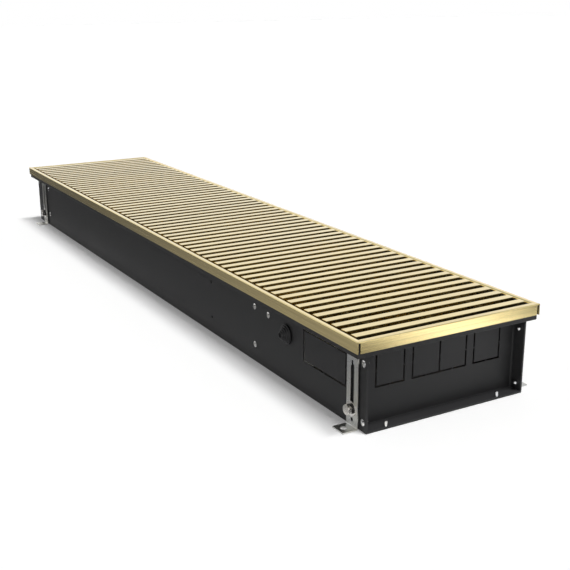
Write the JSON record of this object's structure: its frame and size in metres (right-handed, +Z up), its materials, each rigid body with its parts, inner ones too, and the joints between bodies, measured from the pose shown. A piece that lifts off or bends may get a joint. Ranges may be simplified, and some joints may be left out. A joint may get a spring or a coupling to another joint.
{
  "type": "trench convector heater",
  "caption": "Slim floor-trench convector with a black casing, gold-framed roll-up grille, height-adjustable feet, finned heat exchanger and crossflow fans.",
  "frame": {"origin": "on the floor under the middle of the frame", "axes": "+X along the trough towards the connection end, -Y the side with the cable grommet, +Z up"},
  "size_m": [1.23, 0.2736, 0.1125],
  "materials": {
    "casing_black": "matt black powder coat with a fine texture",
    "gold_anodised": "fine-brushed, light gold anodised",
    "zinc_plated": "bright zinc plating, lightly streaked",
    "galvanised": "galvanised sheet with a faint spangle",
    "rubber_black": "matt moulded rubber",
    "plastic_black": "moulded, slightly grained",
    "fin_aluminium": "mill finish",
    "copper": "drawn copper with light tarnish",
    "brass": "machined brass",
    "motor_black": "satin black enamel",
    "plastic_grey": "moulded light grey",
    "cable_sheath": "smooth matt sheath"
  },
  "bodies": {
    "casing": {"trough": "casing_black", "end_plate_near": "casing_black", "end_plate_far": "casing_black", "end_plate_rivets": "zinc_plated", "casing_rivets": "zinc_plated", "frame_rail_front": "gold_anodised", "frame_rail_rear": "gold_anodised", "frame_rail_near": "gold_anodised", "frame_rail_far": "gold_anodised", "corner_keys": "casing_black", "seat_strips": "rubber_black", "bracket_bolts": "zinc_plated", "bracket_washers": "zinc_plated", "lock_washers": "zinc_plated", "rivet_nuts": "zinc_plated", "wall_doublers": "casing_black", "cable_grommet": "rubber_black", "cross_bracket_near": "galvanised", "cross_bracket_far": "galvanised", "exchanger_fins": "fin_aluminium", "exchanger_tubes": "copper", "far_return_bends": "copper", "near_return_bend": "copper", "flow_connector": "brass", "return_connector": "brass", "connection_plate": "galvanised", "air_vent_body": "brass", "fan_housing_near": "galvanised", "fan_housing_far": "galvanised", "fan_motor_near": "motor_black", "fan_motor_far": "motor_black", "fan_bearing_near": "rubber_black", "fan_bearing_far": "rubber_black", "motor_screws": "zinc_plated", "terminal_box": "plastic_grey", "terminal_box_lid": "plastic_grey", "lid_screws": "zinc_plated", "terminal_block": "plastic_grey", "motor_cable_near": "cable_sheath", "motor_cable_far": "cable_sheath", "cable_clips": "plastic_grey", "earth_stud": "brass"},
    "foot_near_front": {"foot_bracket_near_front": "zinc_plated"},
    "foot_near_rear": {"foot_bracket_near_rear": "zinc_plated"},
    "foot_far_front": {"foot_bracket_far_front": "zinc_plated"},
    "foot_far_rear": {"foot_bracket_far_rear": "zinc_plated"},
    "grille": {"grille_slats": "gold_anodised", "grille_rods": "zinc_plated", "grille_spacers": "plastic_black", "rod_end_caps": "zinc_plated"},
    "fan_near": {"fan_rotor_near": "fin_aluminium", "fan_shaft_near": "zinc_plated"},
    "fan_far": {"fan_rotor_far": "fin_aluminium", "fan_shaft_far": "zinc_plated"},
    "vent_screw": {"air_vent_screw": "zinc_plated"}
  },
  "joints": [
    {"name": "foot_near_front_slide", "type": "slide", "parent": "casing", "child": "foot_near_front", "axis": [0, 0, 1], "range_m": [-0.052, 0]},
    {"name": "foot_near_rear_slide", "type": "slide", "parent": "casing", "child": "foot_near_rear", "axis": [0, 0, 1], "range_m": [-0.052, 0]},
    {"name": "foot_far_front_slide", "type": "slide", "parent": "casing", "child": "foot_far_front", "axis": [0, 0, 1], "range_m": [-0.052, 0]},
    {"name": "foot_far_rear_slide", "type": "slide", "parent": "casing", "child": "foot_far_rear", "axis": [0, 0, 1], "range_m": [-0.052, 0]},
    {"name": "grille_lift", "type": "slide", "parent": "casing", "child": "grille", "axis": [0, 0, 1], "range_m": [0, 0.15]},
    {"name": "fan_near_spin", "type": "hinge", "parent": "casing", "child": "fan_near", "pos_m": [0.1, -0.05978, 0.044], "axis": [1, 0, 0], "continuous": true},
    {"name": "fan_far_spin", "type": "hinge", "parent": "casing", "child": "fan_far", "pos_m": [-0.335, -0.05978, 0.044], "axis": [1, 0, 0], "continuous": true},
    {"name": "vent_turn", "type": "hinge", "parent": "casing", "child": "vent_screw", "pos_m": [0.45, 0.03312, 0.0755], "axis": [0, 0, 1], "range_deg": [0, 360]}
  ]
}
